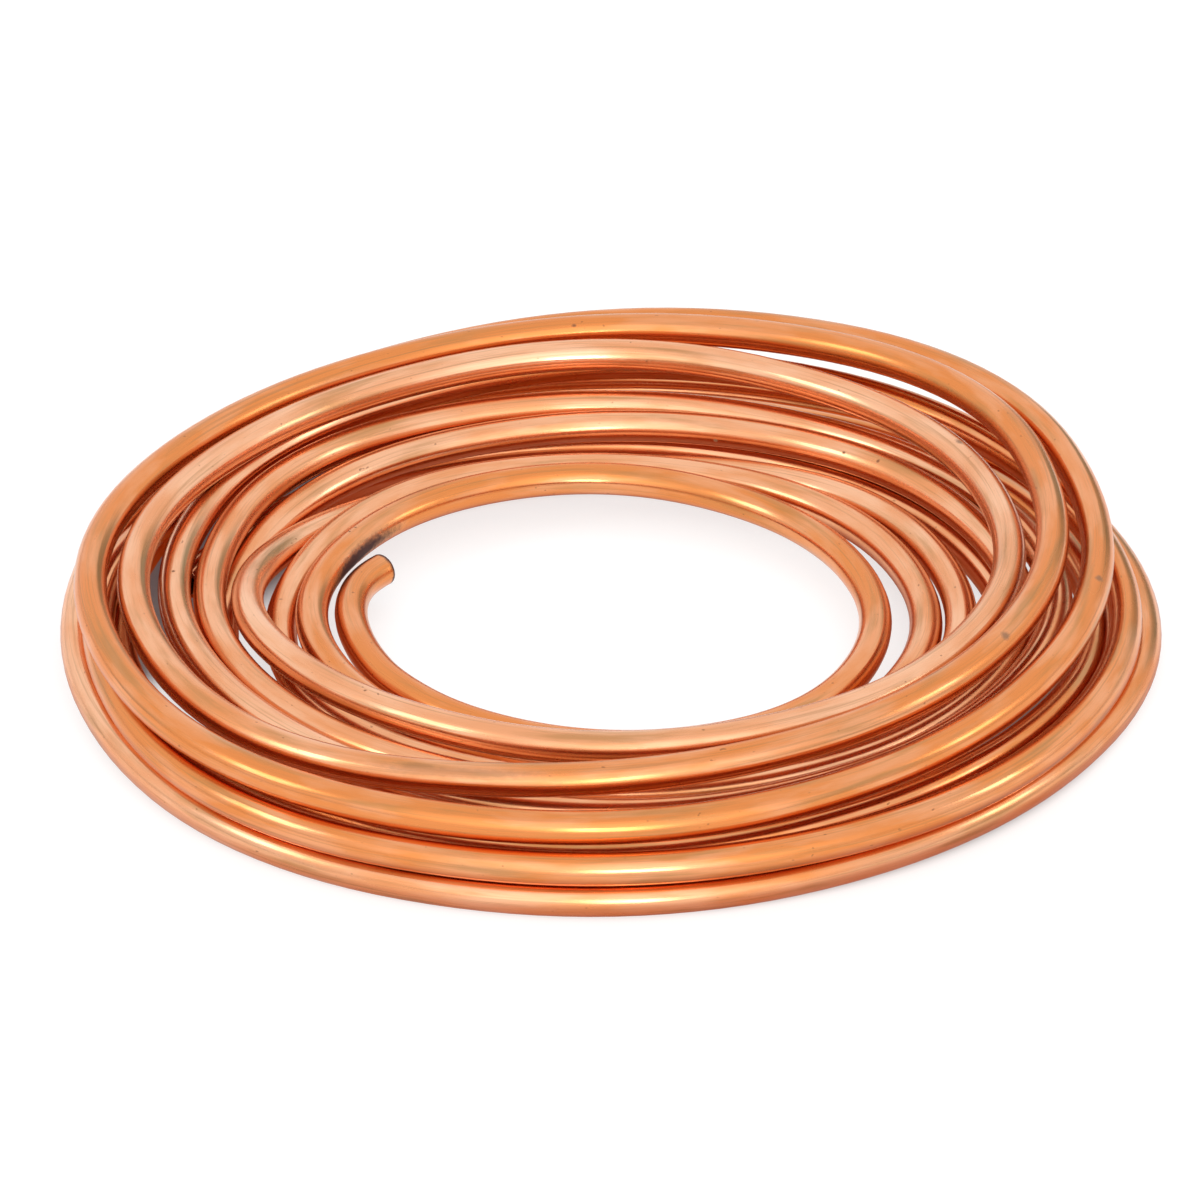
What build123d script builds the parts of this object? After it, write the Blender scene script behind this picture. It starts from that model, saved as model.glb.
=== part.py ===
from build123d import *
import os
from math import acos, cos, degrees, pi, sin, tan

# A loose coil of soft copper tube, wound from one plain length. Lengths are in mm, angles in degrees.
tube_od = 6.35                    # quarter-inch tube, outside
tube_wall = 0.762                 # wall of the drawn tube
eye_radius = 48.9                 # coil axis to the middle of the tube at the front of the innermost turn
inner_tail = 2.6                  # straight run at the free inner end
tail_reach = 4.4                  # the inner end's curl, from where it starts to the corner it rounds
tail_lead = 15.0                  # from that corner to the first corner of the winding
tail_turn = 33.0                  # the bend at the first corner of the winding
tail_curl = 29.0                  # how far the inner end is curled in towards the eye
outer_tail = 12.0                 # straight run at the outer end, under the pack
stations = 8                      # places round a turn where its lie is given

# Lie of the tube's middle, turn by turn from the inner end outwards, in shares of the tube's diameter: how far
# outside the eye's radius it runs and how high it is lifted off the floor. Turns that touch are one share apart.
# A row reads left, front left, front, front right, right, back right, back, back left.
outward_shares = [
    [-0.18, -0.08, 0.00, 0.30, 0.25, 0.40, 0.80, 1.00],
    [1.35, 1.25, 1.30, 1.60, 1.80, 2.00, 1.90, 2.25],
    [2.25, 2.30, 2.40, 2.70, 2.85, 3.20, 3.00, 3.25],
    [3.32, 2.72, 3.45, 3.70, 4.20, 5.50, 6.30, 6.10],
    [6.65, 6.80, 5.55, 4.90, 5.40, 7.50, 7.80, 7.40],
    [7.90, 8.30, 7.35, 6.40, 6.80, 8.55, 8.90, 8.70],
    [8.35, 8.40, 7.85, 7.40, 8.45, 9.30, 8.90, 8.40],
    [7.15, 6.45, 6.45, 6.25, 6.90, 8.00, 7.70, 7.02],
    [7.60, 8.60, 7.90, 7.75, 7.80, 7.70, 7.18, 6.70],
    [5.35, 5.05, 5.45, 5.35, 5.75, 5.60, 5.50, 5.60],
    [4.30, 3.95, 4.20, 4.30, 4.68, 4.50, 4.40, 4.50],
    [4.05, 3.40, 3.55, 3.75, 4.45, 4.60, 4.85, 5.35],
]
lift_shares = [
    [0.70, 0.70, 0.60, 0.50, 0.65, 0.80, 1.05, 1.15],
    [1.00, 0.80, 0.60, 0.50, 0.50, 0.70, 0.75, 0.95],
    [0.25, 0.50, 0.60, 0.60, 0.60, 0.70, 0.05, 0.00],
    [1.50, 2.10, 2.50, 2.60, 2.60, 2.50, 2.70, 2.35],
    [2.55, 2.10, 2.80, 2.90, 3.10, 3.30, 2.72, 2.40],
    [2.60, 2.20, 2.05, 2.15, 2.60, 3.10, 2.40, 1.45],
    [0.55, 0.00, 0.00, 0.00, 0.00, 0.00, 0.00, 0.00],
    [0.00, 0.45, 0.60, 0.85, 0.20, 0.00, 0.00, 0.32],
    [1.62, 1.07, 1.06, 1.08, 1.00, 1.68, 1.90, 1.33],
    [1.50, 1.55, 1.30, 1.45, 1.50, 1.10, 1.15, 1.25],
    [1.20, 1.40, 1.40, 1.20, 1.10, 1.25, 1.00, 0.82],
    [0.00, 0.05, 0.10, 0.10, 0.00, 0.15, 0.00, 0.00],
]


def corner_at(place, outward, lift):
    # Arcs that touch two neighbouring legs half way lie this much nearer the axis than the corner they round.
    inset = cos(pi / stations)
    radius = (eye_radius + outward * tube_od) / inset
    angle = 2 * pi * place / stations
    return Vector(-radius * cos(angle), -radius * sin(angle), tube_od / 2 + lift * tube_od)


corners = []
for outward_row, lift_row in zip(outward_shares, lift_shares):
    for place, (outward, lift) in enumerate(zip(outward_row, lift_row)):
        corners.append(corner_at(place, outward, lift))

# The inner end keeps turning level past the first corner, then curls in towards the eye. The outer end keeps
# turning past the last corner and stops under the pack.
step_angle = 360 / stations
first_leg = corners[1] - corners[0]
lead = Vector(first_leg.X, first_leg.Y, 0).normalized().rotate(Axis.Z, -tail_turn)
tail_corner = corners[0] - lead * tail_lead
curl = lead.rotate(Axis.Z, -tail_curl)
inner_end = tail_corner - curl * (tail_reach + inner_tail)
last_leg = corners[-1] - corners[-2]
trail = Vector(last_leg.X, last_leg.Y, 0).normalized().rotate(Axis.Z, step_angle)
last_reach = last_leg.length / 2
outer_end = corners[-1] + trail * (last_reach + outer_tail)
corners = [inner_end, tail_corner] + corners + [outer_end]

# How far from each corner its arc touches the legs: half the shorter leg, but set by name at the inner end.
legs = [b - a for a, b in zip(corners[:-1], corners[1:])]
reaches = [min(a.length, b.length) / 2 for a, b in zip(legs[:-1], legs[1:])]
reaches[0] = tail_reach
reaches[1] = tail_lead - tail_reach
reaches[-1] = last_reach


def tube_section(at, along, across):
    bore = Circle(tube_od / 2 - tube_wall)
    return Plane(origin=at, x_dir=across, z_dir=along) * (Circle(tube_od / 2) - bore)


def walls(stretch):
    return [face for face in stretch.faces() if face.geom_type != GeomType.PLANE]


# Straight stretches and turned arcs follow one another, each starting on the section where the last one stopped.
at = corners[0]
along = legs[0].normalized()
across = along.cross(Vector(0, 0, 1)).normalized()
shortest_run = tube_wall / 50
skin = [tube_section(at, along, across).face()]
for corner, leg, reach in zip(corners[1:-1], legs[1:], reaches):
    onward = leg.normalized()
    run = (corner - at).length - reach
    if run > shortest_run:
        skin += walls(extrude(tube_section(at, along, across), amount=run, dir=along))
        at = at + along * run
    else:
        reach = reach + run
    bend = acos(max(-1, min(1, along.dot(onward))))
    pivot = along.cross(onward).normalized()
    arc_radius = reach / tan(bend / 2)
    arc_axis = Axis(at + pivot.cross(along) * arc_radius, pivot)
    skin += walls(revolve(tube_section(at, along, across), axis=arc_axis, revolution_arc=degrees(bend)))
    across = across.rotate(Axis((0, 0, 0), pivot), degrees(bend))
    along = onward
    at = corner + along * reach
skin += walls(extrude(tube_section(at, along, across), amount=(corners[-1] - at).length, dir=along))
skin.append(tube_section(corners[-1], along, across).face())
coil = Solid(Shell(skin))

# The coil lies on the floor with the middle of its outline over the origin.
outline = coil.bounding_box()
copper_tube = Pos(-outline.center().X, -outline.center().Y, -outline.min.Z) * coil
copper_tube.label = "copper_tube"

os.makedirs("parts", exist_ok=True)
export_step(copper_tube, "parts/copper_tube.step")
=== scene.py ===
# %% [markdown]
# # A loose coil of soft copper tube
#
# The part is one length of drawn copper tube, wound by hand into a flat coil of about twelve turns. This lesson
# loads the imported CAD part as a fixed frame, lays a smooth tube along the same winding, gives it a drawn copper
# finish and photographs it on a white table.

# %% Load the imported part
import math

import bpy
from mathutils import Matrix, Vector
from mathutils.kdtree import KDTree


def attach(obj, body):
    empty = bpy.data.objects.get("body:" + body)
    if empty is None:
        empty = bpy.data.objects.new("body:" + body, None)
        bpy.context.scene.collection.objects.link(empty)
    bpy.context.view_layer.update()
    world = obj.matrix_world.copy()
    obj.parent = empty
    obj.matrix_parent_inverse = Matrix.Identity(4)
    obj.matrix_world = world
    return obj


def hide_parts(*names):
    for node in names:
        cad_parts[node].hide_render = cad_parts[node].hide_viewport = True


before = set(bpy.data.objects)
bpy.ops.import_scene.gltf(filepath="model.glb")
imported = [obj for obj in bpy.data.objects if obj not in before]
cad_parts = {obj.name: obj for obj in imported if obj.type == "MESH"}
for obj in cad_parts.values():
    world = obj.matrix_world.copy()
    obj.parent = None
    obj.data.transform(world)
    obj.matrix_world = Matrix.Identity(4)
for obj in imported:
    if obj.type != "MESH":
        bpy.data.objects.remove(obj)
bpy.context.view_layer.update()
scene = bpy.context.scene
scene.view_settings.view_transform = "Standard"
bpy.ops.object.select_all(action="DESELECT")
MM = 0.001

# %% [markdown]
# ## The camera
#
# The coil is seen from a little under 30 degrees above the table, through a long lens: the far turns are almost as
# thick as the near ones. The middle of the eye isn't the middle of the picture, so the camera aims a little above and
# to the left of it and needs no lens shift.

# %% Camera
eye_middle = Vector((-0.309, -2.955, 0)) * MM
camera_elevation = math.radians(28.3)
camera_distance = 1.5875
camera_lens_mm = 247.5
camera_sensor_mm = 36
aim_left = 2.11 * MM
aim_above = 10.2 * MM

camera_back = Vector((0, -math.cos(camera_elevation), math.sin(camera_elevation)))
camera_up = Vector((0, math.sin(camera_elevation), math.cos(camera_elevation)))
aim = eye_middle - Vector((aim_left, 0, 0)) + camera_up * aim_above
bpy.ops.object.camera_add(
    location=aim + camera_back * camera_distance,
    rotation=(math.pi / 2 - camera_elevation, 0, 0),
)
camera = bpy.context.object
camera.name = "camera"
camera.data.lens = camera_lens_mm
camera.data.sensor_width = camera_sensor_mm
scene.camera = camera
print("camera at", [round(x, 3) for x in camera.location])

# %% [markdown]
# ## The winding
#
# Coiled tube springs and slips as it is wound, so no two turns lie alike: some are wide and low, some cross over
# their neighbours. The winding is written down the way a winder would describe it, turn by turn from the free inner
# end, at eight places round each turn: how far outside the eye the tube runs and how high it is lifted, both in tube
# diameters. A row reads left, front left, front, front right, right, back right, back, back left. These are the
# numbers of the CAD source, so the tube lies where the solid lies.

# %% The winding's table
tube_od = 6.35 * MM
tube_wall = 0.762 * MM
eye_radius = 48.9 * MM
stations = 8

outward_shares = [
    [-0.18, -0.08, 0.00, 0.30, 0.25, 0.40, 0.80, 1.00],
    [1.35, 1.25, 1.30, 1.60, 1.80, 2.00, 1.90, 2.25],
    [2.25, 2.30, 2.40, 2.70, 2.85, 3.20, 3.00, 3.25],
    [3.32, 2.72, 3.45, 3.70, 4.20, 5.50, 6.30, 6.10],
    [6.65, 6.80, 5.55, 4.90, 5.40, 7.50, 7.80, 7.40],
    [7.90, 8.30, 7.35, 6.40, 6.80, 8.55, 8.90, 8.70],
    [8.35, 8.40, 7.85, 7.40, 8.45, 9.30, 8.90, 8.40],
    [7.15, 6.45, 6.45, 6.25, 6.90, 8.00, 7.70, 7.02],
    [7.60, 8.60, 7.90, 7.75, 7.80, 7.70, 7.18, 6.70],
    [5.35, 5.05, 5.45, 5.35, 5.75, 5.60, 5.50, 5.60],
    [4.30, 3.95, 4.20, 4.30, 4.68, 4.50, 4.40, 4.50],
    [4.05, 3.40, 3.55, 3.75, 4.45, 4.60, 4.85, 5.35],
]
lift_shares = [
    [0.70, 0.70, 0.60, 0.50, 0.65, 0.80, 1.05, 1.15],
    [1.00, 0.80, 0.60, 0.50, 0.50, 0.70, 0.75, 0.95],
    [0.25, 0.50, 0.60, 0.60, 0.60, 0.70, 0.05, 0.00],
    [1.50, 2.10, 2.50, 2.60, 2.60, 2.50, 2.70, 2.35],
    [2.55, 2.10, 2.80, 2.90, 3.10, 3.30, 2.72, 2.40],
    [2.60, 2.20, 2.05, 2.15, 2.60, 3.10, 2.40, 1.45],
    [0.55, 0.00, 0.00, 0.00, 0.00, 0.00, 0.00, 0.00],
    [0.00, 0.45, 0.60, 0.85, 0.20, 0.00, 0.00, 0.32],
    [1.62, 1.07, 1.06, 1.08, 1.00, 1.68, 1.90, 1.33],
    [1.50, 1.55, 1.30, 1.45, 1.50, 1.10, 1.15, 1.25],
    [1.20, 1.40, 1.40, 1.20, 1.10, 1.25, 1.00, 0.82],
    [0.00, 0.05, 0.10, 0.10, 0.00, 0.15, 0.00, 0.00],
]

# %% Control points of the turns
outer_end = Vector((-83.198, 19.116, 3.175)) * MM


def winding_point(place, outward, lift):
    """One control point. A quadratic spline cuts inside its corners, so the point stands a little outside the turn."""
    radius = (eye_radius + outward * tube_od) / math.cos(math.pi / stations)
    angle = 2 * math.pi * place / stations
    across = Vector((-math.cos(angle), -math.sin(angle), 0)) * radius
    return eye_middle + across + Vector((0, 0, tube_od / 2 + lift * tube_od))


turns = []
for outward_row, lift_row in zip(outward_shares, lift_shares):
    for place, (outward, lift) in enumerate(zip(outward_row, lift_row)):
        turns.append(winding_point(place, outward, lift))
turns.append(outer_end)
print(len(turns), "points on", len(outward_shares), "turns")

# %% [markdown]
# The free end curls in more tightly than the turns, so it needs control points that stand closer together. Cutting the
# corners of the winding, with two points on every leg in place of one at every corner, draws the same curve with legs
# half as long, and the free end's points, given for an even bend, lead into them step by step.

# %% Cut the corners and add the free end
near_corner = 0.25
free_end_height = 7.62
free_end = [(-44.495, 17.078), (-48.06, 12.89), (-50.41, 4.20), (-50.11, -5.96), (-46.91, -18.56)]

cut = []
for a, b in zip(turns[:-1], turns[1:]):
    cut.append(a.lerp(b, near_corner))
    cut.append(a.lerp(b, 1 - near_corner))
winding = [Vector((x, y, free_end_height)) * MM for x, y in free_end]
winding += cut[1:-2]
winding += [turns[-2].lerp(outer_end, 0.5), outer_end]
print(len(winding), "control points")

# %% [markdown]
# ## The tube
#
# A NURBS path with those control points is the tube's middle line. It doesn't pass through them: order 3 makes it touch
# the straight lines between them, so the bends are as even as a hand-bent tube's. The path's own round bevel makes the
# outside; converted to a mesh, its rings come one after another along the length, which makes the next steps easy.

# %% Middle line and outside
spline_order = 3
rings_per_span = 8
half_ring_steps = 10

bpy.ops.curve.primitive_nurbs_path_add()
tube = bpy.context.object
tube.name = "copper_tube_coil"
spline = tube.data.splines[0]
spline.points.add(len(winding) - len(spline.points))
for control, place in zip(spline.points, winding):
    control.co = (*place, 1)
spline.order_u = spline_order
spline.use_endpoint_u = True
spline.resolution_u = rings_per_span
tube.data.resolution_u = rings_per_span
tube.data.twist_mode = "Z_UP"

line = bpy.data.meshes.new_from_object(tube)
middle = [v.co.copy() for v in line.vertices]
bpy.data.meshes.remove(line)
travelled = [0.0]
for a, b in zip(middle[:-1], middle[1:]):
    travelled.append(travelled[-1] + (b - a).length)
print(len(middle), "rings,", round(travelled[-1], 3), "m of tube")

tube.data.fill_mode = "FULL"
tube.data.bevel_depth = tube_od / 2
tube.data.bevel_resolution = half_ring_steps
bpy.ops.object.convert(target="MESH")
sides = len(tube.data.vertices) // len(middle)
print(sides, "sides,", len(tube.data.vertices), "vertices")

# %% [markdown]
# ### Do neighbouring turns clear each other?
#
# Turns may touch but must not run into one another. For each point of the middle line, the nearest point of another
# turn is looked up; it should be no nearer than one tube diameter.

# %% Clearance between turns
look_within = tube_od * 1.2
same_stretch = tube_od * 4

neighbours = KDTree(len(middle))
for i, place in enumerate(middle):
    neighbours.insert(place, i)
neighbours.balance()
closest_gap, closest_place = look_within, None
for i, place in enumerate(middle):
    for _, j, gap in neighbours.find_range(place, look_within):
        if abs(travelled[j] - travelled[i]) > same_stretch and gap < closest_gap:
            closest_gap, closest_place = gap, [round(x, 4) for x in place]
print("closest pass,", round(closest_gap / tube_od, 3), "diameters, at", closest_place)

# %% [markdown]
# ### Where a point would be on the straight tube
#
# Drawing leaves lines along the tube, so the finish has to follow the winding. Every vertex stores its place on the
# tube as if it were pulled out straight: how far along, how far to the outside of the coil and how far up from the
# tube's middle. Materials read that attribute, and it has no seam.

# %% The straight tube's coordinates
straight = tube.data.attributes.new("pulled_straight", "FLOAT_VECTOR", "POINT")
for i, along in enumerate(travelled):
    heading = middle[min(i + 1, len(middle) - 1)] - middle[max(i - 1, 0)]
    outside = heading.cross(Vector((0, 0, 1))).normalized()
    for j in range(sides):
        offset = tube.data.vertices[i * sides + j].co - middle[i]
        straight.data[i * sides + j].vector = (along, offset.dot(outside), offset.z)

# %% [markdown]
# ### Wall, bore and cut ends
#
# Solidify gives the skin its wall towards the inside, so the tube is hollow from end to end. The ends were cut with a
# wheel cutter, which leaves a flat rim with a rounded outer edge, so the outer rim edges get a small bevel.

# %% The wall
wall = tube.modifiers.new("wall", "SOLIDIFY")
wall.thickness = tube_wall
wall.offset = -1
wall.use_even_offset = False
wall.material_offset = 1
wall.material_offset_rim = 2
for name in ("copper_skin", "copper_bore", "copper_cut"):
    tube.data.materials.append(bpy.data.materials.new(name))
bpy.ops.object.modifier_apply(modifier=wall.name)
mesh = tube.data

# %% Round the cut ends
cut_edge_round = 0.22 * MM
cut_edge_steps = 3
smooth_below = math.radians(40)

outer_count = len(middle) * sides
end_rings = set(range(sides)) | set(range(outer_count - sides, outer_count))
bpy.ops.object.mode_set(mode="EDIT")
bpy.ops.mesh.select_mode(type="EDGE")
bpy.ops.mesh.select_all(action="DESELECT")
bpy.ops.object.mode_set(mode="OBJECT")
for edge in mesh.edges:
    edge.select = edge.vertices[0] in end_rings and edge.vertices[1] in end_rings
bpy.ops.object.mode_set(mode="EDIT")
bpy.ops.mesh.bevel(offset=cut_edge_round, segments=cut_edge_steps, affect="EDGES")
bpy.ops.object.mode_set(mode="OBJECT")
bpy.ops.object.shade_smooth_by_angle(angle=smooth_below)
print(len(mesh.polygons), "faces,", [a.name for a in mesh.attributes])

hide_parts("copper_tube")
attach(tube, "root")

# %% [markdown]
# ## Drawn copper
#
# The tube is bright annealed copper, pale and pinkish where it is fresh and more orange where it has begun to tarnish.
# Three node groups hold what its surfaces share: the lines left by drawing, the tarnish, and a single mark.

# %% Node helpers


def add_node(tree, kind, **settings):
    node = tree.nodes.new(kind)
    for key, value in settings.items():
        setattr(node, key, value)
    return node


def plug(tree, value, socket):
    """Links an output to a socket, or sets the socket to a plain value."""
    if isinstance(value, bpy.types.NodeSocket):
        tree.links.new(value, socket)
    else:
        socket.default_value = value


def math_node(tree, operation, a, b=0.0):
    node = add_node(tree, "ShaderNodeMath", operation=operation)
    plug(tree, a, node.inputs[0])
    plug(tree, b, node.inputs[1])
    return node.outputs[0]


def vector_node(tree, operation, a, b=None):
    node = add_node(tree, "ShaderNodeVectorMath", operation=operation)
    plug(tree, a, node.inputs[0])
    if b is not None:
        plug(tree, b, node.inputs[1])
    return node


def ranged(tree, value, low, high, new_low=0.0, new_high=1.0):
    """A smooth step from one value to another while the input goes from low to high."""
    node = add_node(tree, "ShaderNodeMapRange", interpolation_type="SMOOTHSTEP")
    for socket, number in zip(node.inputs, (value, low, high, new_low, new_high)):
        plug(tree, number, socket)
    return node.outputs["Result"]


def mixed(tree, share, a, b):
    node = add_node(tree, "ShaderNodeMix", data_type="RGBA")
    plug(tree, share, node.inputs[0])
    plug(tree, a, node.inputs[6])
    plug(tree, b, node.inputs[7])
    return node.outputs[2]


def stretched_noise(tree, place, along, across, detail=2.0):
    """Noise with so many cells to the metre along the tube and across it."""
    noise = add_node(tree, "ShaderNodeTexNoise")
    noise.inputs["Scale"].default_value = 1
    noise.inputs["Detail"].default_value = detail
    scaled = vector_node(tree, "MULTIPLY", place, (along, across, across))
    plug(tree, scaled.outputs[0], noise.inputs["Vector"])
    return noise.outputs["Fac"]


def new_group(name, inputs, outputs):
    group = bpy.data.node_groups.new(name, "ShaderNodeTree")
    for socket in inputs:
        group.interface.new_socket(socket, in_out="INPUT", socket_type="NodeSocketVector")
    for socket in outputs:
        group.interface.new_socket(socket, in_out="OUTPUT", socket_type="NodeSocketFloat")
    return group, add_node(group, "NodeGroupInput"), add_node(group, "NodeGroupOutput")


def use_group(tree, name, place):
    node = add_node(tree, "ShaderNodeGroup", node_tree=bpy.data.node_groups[name])
    plug(tree, place, node.inputs["Place"])
    return node


# %% Start of a copper material


def copper(name):
    """Starts a copper material and gives its tree, its shader and the place on the straight tube."""
    material = bpy.data.materials[name]
    material.use_nodes = True
    tree = material.node_tree
    shader = tree.nodes["Principled BSDF"]
    shader.inputs["Metallic"].default_value = 1
    place = add_node(tree, "ShaderNodeAttribute", attribute_name="pulled_straight")
    return tree, shader, place.outputs["Vector"]


# %% [markdown]
# ### What the surfaces share
#
# Drawing through a die leaves long fine lines, so that noise has thousands of cells to the metre across the tube and
# only tens along it. Tarnish comes in longer blotches, in patches left by hands and in specks. A mark is a spot with a
# ragged edge round one place, with its own reach along the tube, to the outside and up.

# %% Draw lines
broad_lines = (18, 1500)
fine_lines = (55, 4500)

group, given, result = new_group("draw_lines", ["Place"], ["Broad", "Fine"])
plug(group, stretched_noise(group, given.outputs["Place"], *broad_lines), result.inputs["Broad"])
plug(group, stretched_noise(group, given.outputs["Place"], *fine_lines), result.inputs["Fine"])
print(group.name, "puts out", [socket.name for socket in result.inputs if socket.name])

# %% Tarnish
blotch_noise = (45, 230, 4.0)
handled_noise = (38, 420, 5.0)
handled_range = (0.5, 0.72)
speck_noise = (700, 1100, 1.0)
speck_range = (0.75, 0.82)

group, given, result = new_group("tarnish", ["Place"], ["Blotch", "Handled", "Specks"])
plug(group, stretched_noise(group, given.outputs["Place"], *blotch_noise), result.inputs["Blotch"])
handled = stretched_noise(group, given.outputs["Place"], *handled_noise)
plug(group, ranged(group, handled, *handled_range), result.inputs["Handled"])
grain = stretched_noise(group, given.outputs["Place"], *speck_noise)
plug(group, ranged(group, grain, *speck_range), result.inputs["Specks"])
print(group.name, "puts out", [socket.name for socket in result.inputs if socket.name])

# %% One mark
ragged_noise = (900, 1300, 3.0)
noise_middle = 0.5
ragged_share = 0.6
mark_fade = (1.0, 0.3)

group, given, result = new_group("mark", ["Place", "Centre", "Reach"], ["Mask"])
away = vector_node(group, "SUBTRACT", given.outputs["Place"], given.outputs["Centre"])
shares = vector_node(group, "DIVIDE", away.outputs[0], given.outputs["Reach"])
distance = vector_node(group, "LENGTH", shares.outputs[0])
ragged = math_node(group, "SUBTRACT", stretched_noise(group, given.outputs["Place"], *ragged_noise), noise_middle)
edge = math_node(group, "ADD", distance.outputs["Value"], math_node(group, "MULTIPLY", ragged, ragged_share))
plug(group, ranged(group, edge, *mark_fade), result.inputs["Mask"])
print(group.name, "puts out", [socket.name for socket in result.inputs if socket.name])

# %% [markdown]
# ### The outside
#
# Fresh copper is pale pink and tarnished copper is orange; which of the two shows depends on the turn, because each
# turn has been handled and aired differently. Draw lines add a fine relief and darker streaks along them; the streaks
# are partly the lines' own colour and partly a painted reflection of dark surroundings. A slow unevenness along the
# length makes the highlights waver the way they do on hand-wound tube.

# %% How far each stretch has tarnished, by its share of the length from the free end
tarnish_along = [
    (0.0, 0.95), (0.05, 0.9), (0.07, 0.6), (0.12, 0.45), (0.2, 0.25), (0.26, 0.3), (0.285, 0.65), (0.31, 1.0),
    (0.445, 0.95), (0.462, 0.3), (0.475, 0.35), (0.49, 0.65), (0.52, 0.85), (0.66, 0.9), (0.735, 0.9), (0.752, 0.35),
    (0.775, 0.3), (0.79, 0.6), (0.825, 0.35), (0.85, 0.6), (0.9, 0.4), (1.0, 0.6),
]
print(len(tarnish_along), "stretches")

# %% [markdown]
# Some marks are too particular for noise: small pits, stains, a dull patch, and two dark purple bands near the free
# end, a long one along the tube's side and a thin one round the end itself. Each is listed, in mm: where it is on the
# straight tube (along, to the outside, up) and how far it reaches each way.

# %% Marks, one by one
pits = [
    ((2064.1, -2.1, 2.4), (0.7, 0.5, 0.5)),
    ((5534.8, -3.1, -0.6), (0.6, 0.5, 0.5)),
    ((5505.9, -2.4, 2.1), (0.6, 0.4, 0.4)),
    ((5497.5, -1.8, 2.6), (0.5, 0.7, 0.5)),
    ((4668.6, 0.1, 3.2), (0.6, 0.5, 0.4)),
    ((320.1, 0.5, 3.1), (0.4, 0.4, 0.3)),
    ((318.2, 0.3, 3.2), (0.4, 0.4, 0.3)),
    ((1201.6, 0.8, 3.1), (0.5, 0.4, 0.4)),
]
stains = [
    ((2500.4, 1.2, 2.9), (1.5, 1.1, 1.1)),
    ((1869.1, 1.8, 2.6), (1.6, 1.4, 1.1)),
    ((1413.5, 0.3, 3.1), (1.6, 0.9, 0.8)),
]
dull_patches = [
    ((1744.5, 1.8, 2.6), (6.0, 1.5, 1.4)),
    ((1752.0, 2.2, 2.3), (20.0, 1.5, 1.5)),
]
# Two dark purple bands: a long one along the tube's side and a thin ring round the free end. They darken the colour
# there.
dark_bands = [
    ((324.0, -3.1, 0.0), (19.0, 1.8, 2.6)),
    ((0.0, 0.0, 0.0), (1.1, 20.0, 20.0)),
]


def marked(tree, place, spots, share):
    """The strongest of some marks at each place, times the share of the colour that they take."""
    strongest = 0.0
    for centre, reach in spots:
        spot = use_group(tree, "mark", place)
        spot.inputs["Centre"].default_value = Vector(centre) * MM
        spot.inputs["Reach"].default_value = Vector(reach) * MM
        strongest = math_node(tree, "MAXIMUM", spot.outputs["Mask"], strongest)
    return math_node(tree, "MULTIPLY", strongest, share)


# %% [markdown]
# The skin's colour is built in layers, from the bare metal up: fresh or tarnished copper by turn, with blotches, then
# darker streaks along the draw lines, partly a painted reflection of dark surroundings, then handled patches and
# specks, and last the marks.

# %% Copper skin: the metal
fresh_copper = (0.93, 0.525, 0.325, 1)
orange_copper = (0.78, 0.268, 0.08, 1)
blotch_range = (0.3, 0.7)
blotch_swing = 0.3

tree, shader, place = copper("copper_skin")
lines = use_group(tree, "draw_lines", place)
age = use_group(tree, "tarnish", place)
parts = add_node(tree, "ShaderNodeSeparateXYZ")
plug(tree, place, parts.inputs[0])
share_along = math_node(tree, "DIVIDE", parts.outputs["X"], travelled[-1])
by_turn = add_node(tree, "ShaderNodeValToRGB")
stops = by_turn.color_ramp.elements
while len(stops) < len(tarnish_along):
    stops.new(0.5)
for stop, (at, amount) in zip(stops, tarnish_along):
    stop.position = at
    stop.color = (amount, amount, amount, 1)
plug(tree, share_along, by_turn.inputs["Fac"])
blotches = ranged(tree, age.outputs["Blotch"], *blotch_range, -blotch_swing, blotch_swing)
tarnished = add_node(tree, "ShaderNodeMath", operation="ADD", use_clamp=True)
plug(tree, by_turn.outputs["Color"], tarnished.inputs[0])
plug(tree, blotches, tarnished.inputs[1])
colour = mixed(tree, tarnished.outputs[0], fresh_copper, orange_copper)

# %% Copper skin: streaks with painted reflection, handling and specks
streak_and_reflection_dark = (0.40, 0.20, 0.08, 1)
handled_olive = (0.46, 0.23, 0.085, 1)
speck_brown = (0.22, 0.09, 0.04, 1)
broad_streaks = (0.55, 0.75, 0.0, 0.45)
fine_streaks = (0.58, 0.72, 0.0, 0.3)
handled_share = 0.62
speck_share = 0.6

# The darker streaks along the draw lines are partly the lines' own colour and partly a painted reflection of dark
# surroundings.
colour = mixed(tree, ranged(tree, lines.outputs["Broad"], *broad_streaks), colour, streak_and_reflection_dark)
colour = mixed(tree, ranged(tree, lines.outputs["Fine"], *fine_streaks), colour, streak_and_reflection_dark)
colour = mixed(tree, math_node(tree, "MULTIPLY", age.outputs["Handled"], handled_share), colour, handled_olive)
colour = mixed(tree, math_node(tree, "MULTIPLY", age.outputs["Specks"], speck_share), colour, speck_brown)

# %% Copper skin: marks
stain_grey = (0.20, 0.115, 0.07, 1)
dark_band_purple = (0.035, 0.014, 0.02, 1)

dulled = marked(tree, place, dull_patches, share=0.3)
stained = marked(tree, place, stains, share=0.75)
banded = marked(tree, place, dark_bands, share=0.95)
pitted = marked(tree, place, pits, share=0.9)
colour = mixed(tree, dulled, colour, stain_grey)
colour = mixed(tree, stained, colour, stain_grey)
colour = mixed(tree, banded, colour, dark_band_purple)
colour = mixed(tree, pitted, colour, speck_brown)
plug(tree, colour, shader.inputs["Base Color"])

# %% [markdown]
# Stains and pits are oxide, which isn't metal, and the dark bands get the same finish: there the shader turns from
# Metallic to plain and rough, with little gloss, or else their dark colour would go grey with reflections.

# %% Copper skin: gloss
oxide_gloss = 0.15
oxide_roughness = 0.6
dulled_roughness = 0.9
polish = (0.3, 0.75, 0.17, 0.3)

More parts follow.
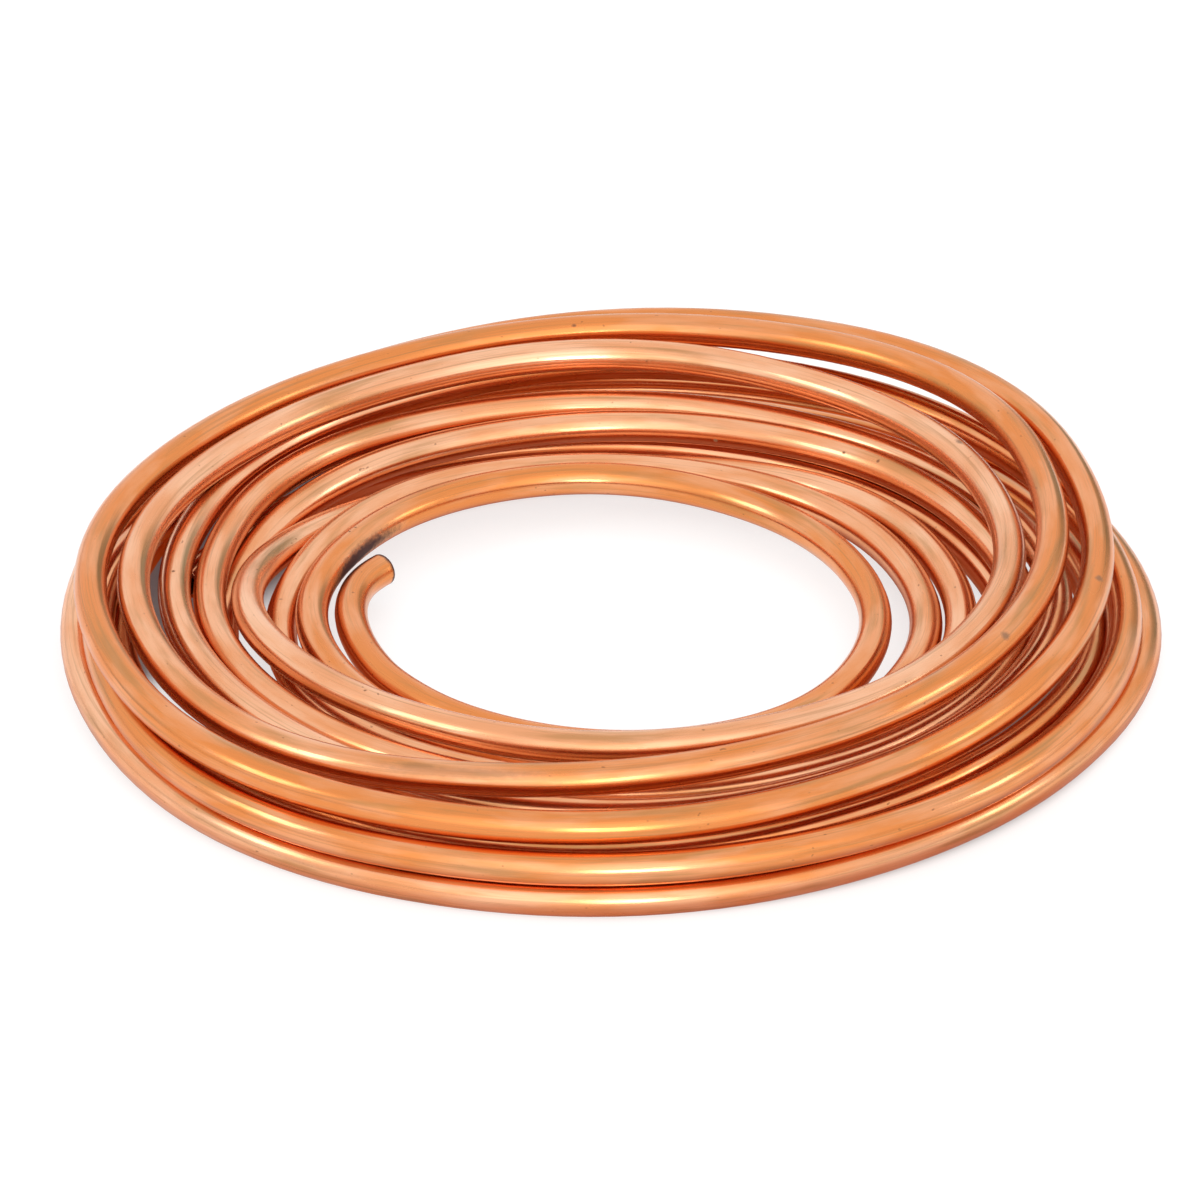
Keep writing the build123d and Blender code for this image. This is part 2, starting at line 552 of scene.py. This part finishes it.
oxide = math_node(tree, "MAXIMUM", math_node(tree, "MAXIMUM", stained, banded), pitted)
plug(tree, math_node(tree, "SUBTRACT", 1.0, oxide), shader.inputs["Metallic"])
shader.inputs["Specular IOR Level"].default_value = oxide_gloss
dullness = ranged(tree, age.outputs["Blotch"], *polish)
dullness = math_node(tree, "MAXIMUM", dullness, math_node(tree, "MULTIPLY", oxide, oxide_roughness))
dullness = math_node(tree, "MAXIMUM", dullness, math_node(tree, "MULTIPLY", dulled, dulled_roughness))
plug(tree, dullness, shader.inputs["Roughness"])

# %% Copper skin: unevenness and relief
waver_noise = (28, 120, 1.0)
waver_depth = 0.3 * MM
line_depth = 0.02 * MM
fine_line_share = 0.4

waver = add_node(tree, "ShaderNodeBump")
waver.inputs["Distance"].default_value = waver_depth
plug(tree, stretched_noise(tree, place, *waver_noise), waver.inputs["Height"])
relief = add_node(tree, "ShaderNodeBump")
relief.inputs["Distance"].default_value = line_depth
fine_part = math_node(tree, "MULTIPLY", lines.outputs["Fine"], fine_line_share)
plug(tree, math_node(tree, "ADD", lines.outputs["Broad"], fine_part), relief.inputs["Height"])
plug(tree, waver.outputs["Normal"], relief.inputs["Normal"])
plug(tree, relief.outputs["Normal"], shader.inputs["Normal"])
print("copper_skin has", len(tree.nodes), "nodes")

# %% [markdown]
# ### The bore and the cut rims
#
# The bore is duller than the outside. The rims were crushed by the cutter and have gone dark and a little purple.

# %% Copper bore
bore_bright = (0.60, 0.29, 0.16, 1)
bore_dark = (0.36, 0.15, 0.07, 1)
bore_streaks = (0.4, 0.7)
bore_polish = (0.3, 0.7, 0.32, 0.46)

tree, shader, place = copper("copper_bore")
lines = use_group(tree, "draw_lines", place)
streaked = ranged(tree, lines.outputs["Broad"], *bore_streaks)
plug(tree, mixed(tree, streaked, bore_bright, bore_dark), shader.inputs["Base Color"])
plug(tree, ranged(tree, lines.outputs["Fine"], *bore_polish), shader.inputs["Roughness"])
print("copper_bore has", len(tree.nodes), "nodes")

# %% Cut rims
rim_purple = (0.16, 0.065, 0.07, 1)
rim_copper = (0.42, 0.19, 0.13, 1)
rim_blotches = (0.35, 0.65)
rim_polish = (0.3, 0.7, 0.3, 0.45)

tree, shader, place = copper("copper_cut")
age = use_group(tree, "tarnish", place)
rim_stain = ranged(tree, age.outputs["Blotch"], *rim_blotches)
plug(tree, mixed(tree, rim_stain, rim_purple, rim_copper), shader.inputs["Base Color"])
plug(tree, ranged(tree, age.outputs["Blotch"], *rim_polish), shader.inputs["Roughness"])
print("copper_cut has", len(tree.nodes), "nodes")

# %% [markdown]
# ## The table
#
# The table is white where it is looked at, straight or in the copper, because it glows for those rays, and it keeps a
# soft shadow. A glow has no shade of its own, though, so the coil would seem to stand over a lamp. Two places are
# therefore shaded by hand: seen straight on, the table is darker under the two places where the turns are stacked
# highest, at the back left and the front right, and in reflections the ring under the coil is the deep red of light
# that has been from turn to turn.

# %% Table
table_size = 12.0
table_grey = (0.36, 0.36, 0.36, 1)

bpy.ops.mesh.primitive_plane_add(size=table_size)
table = bpy.context.object
table.name = "table"
table_finish = bpy.data.materials.new("white_table")
table_finish.use_nodes = True
table.data.materials.append(table_finish)
tree = table_finish.node_tree
tree.nodes.clear()
paper = add_node(tree, "ShaderNodeBsdfDiffuse")
paper.inputs["Color"].default_value = table_grey

# %% Where the table is shaded
eye_edge = (45 * MM, 58 * MM)
ring_edge = (122 * MM, 98 * MM)
pack_edge = (104 * MM, 96 * MM)
stack_direction = (-0.85, 0.53, 0)
stack_edge = (62 * MM, 72 * MM)

where = add_node(tree, "ShaderNodeTexCoord")
from_middle = vector_node(tree, "LENGTH", where.outputs["Object"]).outputs["Value"]
under_ring = math_node(tree, "MULTIPLY", ranged(tree, from_middle, *eye_edge), ranged(tree, from_middle, *ring_edge))
stack_line = vector_node(tree, "DOT_PRODUCT", where.outputs["Object"], stack_direction)
towards_stack = ranged(tree, math_node(tree, "ABSOLUTE", stack_line.outputs["Value"]), *stack_edge)
under_stack = math_node(tree, "MULTIPLY", towards_stack, ranged(tree, from_middle, *pack_edge))

# %% The table's glow
white = (1, 1, 1, 1)
copper_shade = (0.34, 0.062, 0.008, 1)
stack_shade = 0.9
table_glow = 0.7

rays = add_node(tree, "ShaderNodeLightPath")
mirrored = math_node(tree, "MAXIMUM", rays.outputs["Is Glossy Ray"], rays.outputs["Is Transmission Ray"])
unshaded = math_node(tree, "SUBTRACT", 1.0, math_node(tree, "MULTIPLY", under_stack, stack_shade))
straight_on = math_node(tree, "MULTIPLY", rays.outputs["Is Camera Ray"], unshaded)
looked_at = math_node(tree, "MAXIMUM", straight_on, mirrored)
glow = add_node(tree, "ShaderNodeEmission")
mirrored_ring = math_node(tree, "MULTIPLY", mirrored, under_ring)
plug(tree, mixed(tree, mirrored_ring, white, copper_shade), glow.inputs["Color"])
plug(tree, math_node(tree, "MULTIPLY", looked_at, table_glow), glow.inputs["Strength"])
both = add_node(tree, "ShaderNodeAddShader")
plug(tree, paper.outputs[0], both.inputs[0])
plug(tree, glow.outputs[0], both.inputs[1])
surface = add_node(tree, "ShaderNodeOutputMaterial")
plug(tree, both.outputs[0], surface.inputs["Surface"])
print("white_table has", len(tree.nodes), "nodes")

# %% [markdown]
# ## The room and the lamps
#
# The tube shows whatever surrounds it, so the surroundings are built for their reflections. The room has a pale ceiling
# and dimmer walls, which draw darker lines along the tube, a broad soft glow in front and a dark corner at the back
# right, which gives the turns at the sides their olive lines. Three lamps add the highlights: one in front, one on the
# left and a weaker one on the right.

# %% World
wall_light = 0.62
ceiling_light = 1.04
wall_top = 0.16
front_glow = 0.75
dark_corner = (0.33, 0.38, 0.31, 1)


def towards(right_of_front, above):
    """The direction so many degrees to the right of the camera's side and above the table."""
    turn, rise = math.radians(right_of_front), math.radians(above)
    return Vector((math.sin(turn) * math.cos(rise), -math.cos(turn) * math.cos(rise), math.sin(rise)))


def room_patch(tree, outlook, middle, outer, inner, strength=1.0):
    """A soft round patch of the room, full within the inner angle of its middle and gone outside the outer one."""
    nearness = vector_node(tree, "DOT_PRODUCT", outlook, towards(*middle))
    edges = [math.cos(math.radians(angle)) for angle in (outer, inner)]
    return ranged(tree, nearness.outputs["Value"], *edges, 0.0, strength)


world = bpy.data.worlds.new("studio")
scene.world = world
world.use_nodes = True
tree = world.node_tree
room = tree.nodes["Background"]
outlook = add_node(tree, "ShaderNodeTexCoord").outputs["Generated"]
parts = add_node(tree, "ShaderNodeSeparateXYZ")
plug(tree, outlook, parts.inputs[0])
shell = ranged(tree, parts.outputs["Z"], 0.0, wall_top, wall_light, ceiling_light)
window = room_patch(tree, outlook, middle=(5, 22), outer=52, inner=6, strength=front_glow)
plug(tree, math_node(tree, "ADD", shell, window), room.inputs["Strength"])
corner = room_patch(tree, outlook, middle=(153, 9), outer=18, inner=6)
plug(tree, mixed(tree, corner, white, dark_corner), room.inputs["Color"])
print("the room has", len(tree.nodes), "nodes")

# %% Lamps
lamp_distance = 1.3


def soft_box(name, direction, width, height, radiance):
    """An area lamp that faces the coil, as bright as the given radiance."""
    bpy.ops.object.light_add(type="AREA", location=eye_middle + direction * lamp_distance)
    lamp = bpy.context.object
    lamp.name = name
    lamp.rotation_euler = direction.to_track_quat("Z", "Y").to_euler()
    lamp.data.shape = "RECTANGLE"
    lamp.data.size = width
    lamp.data.size_y = height
    lamp.data.energy = radiance * math.pi * width * height
    lamp.visible_camera = False
    print(name, round(lamp.data.energy, 2), "W")


soft_box("front_box", towards(7, 12), width=0.36, height=0.4, radiance=4.6)
soft_box("left_box", towards(-70, 32), width=0.45, height=0.4, radiance=2.6)
soft_box("right_box", towards(88, 24), width=0.3, height=0.3, radiance=3.0)
